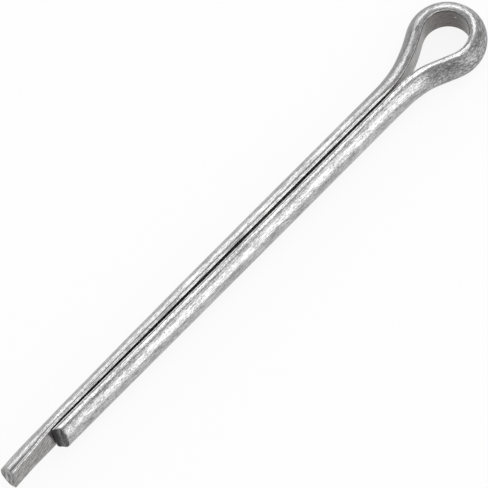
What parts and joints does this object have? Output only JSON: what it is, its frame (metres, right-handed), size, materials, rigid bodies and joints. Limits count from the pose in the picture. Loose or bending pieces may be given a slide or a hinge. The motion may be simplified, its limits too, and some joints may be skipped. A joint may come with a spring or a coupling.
{
  "type": "cotter pin",
  "caption": "Split cotter pin of half-round wire folded flat to flat, with a teardrop eye, square-cut ends and one leg left longer for spreading.",
  "frame": {"origin": "on the shank's axis, at the section where the two straight legs start to open into the eye", "axes": "+X along the shank from the eye to the tips, +Z square to the plane of the eye; the long leg is on the -Y side"},
  "size_m": [0.083, 0.01, 0.0044],
  "materials": {
    "zinc_steel": "bright zinc-plated steel wire, drawn, with streaks along the wire and darker sheared ends"
  },
  "bodies": {
    "root": {"cotter_pin": "zinc_steel"}
  },
  "joints": []
}
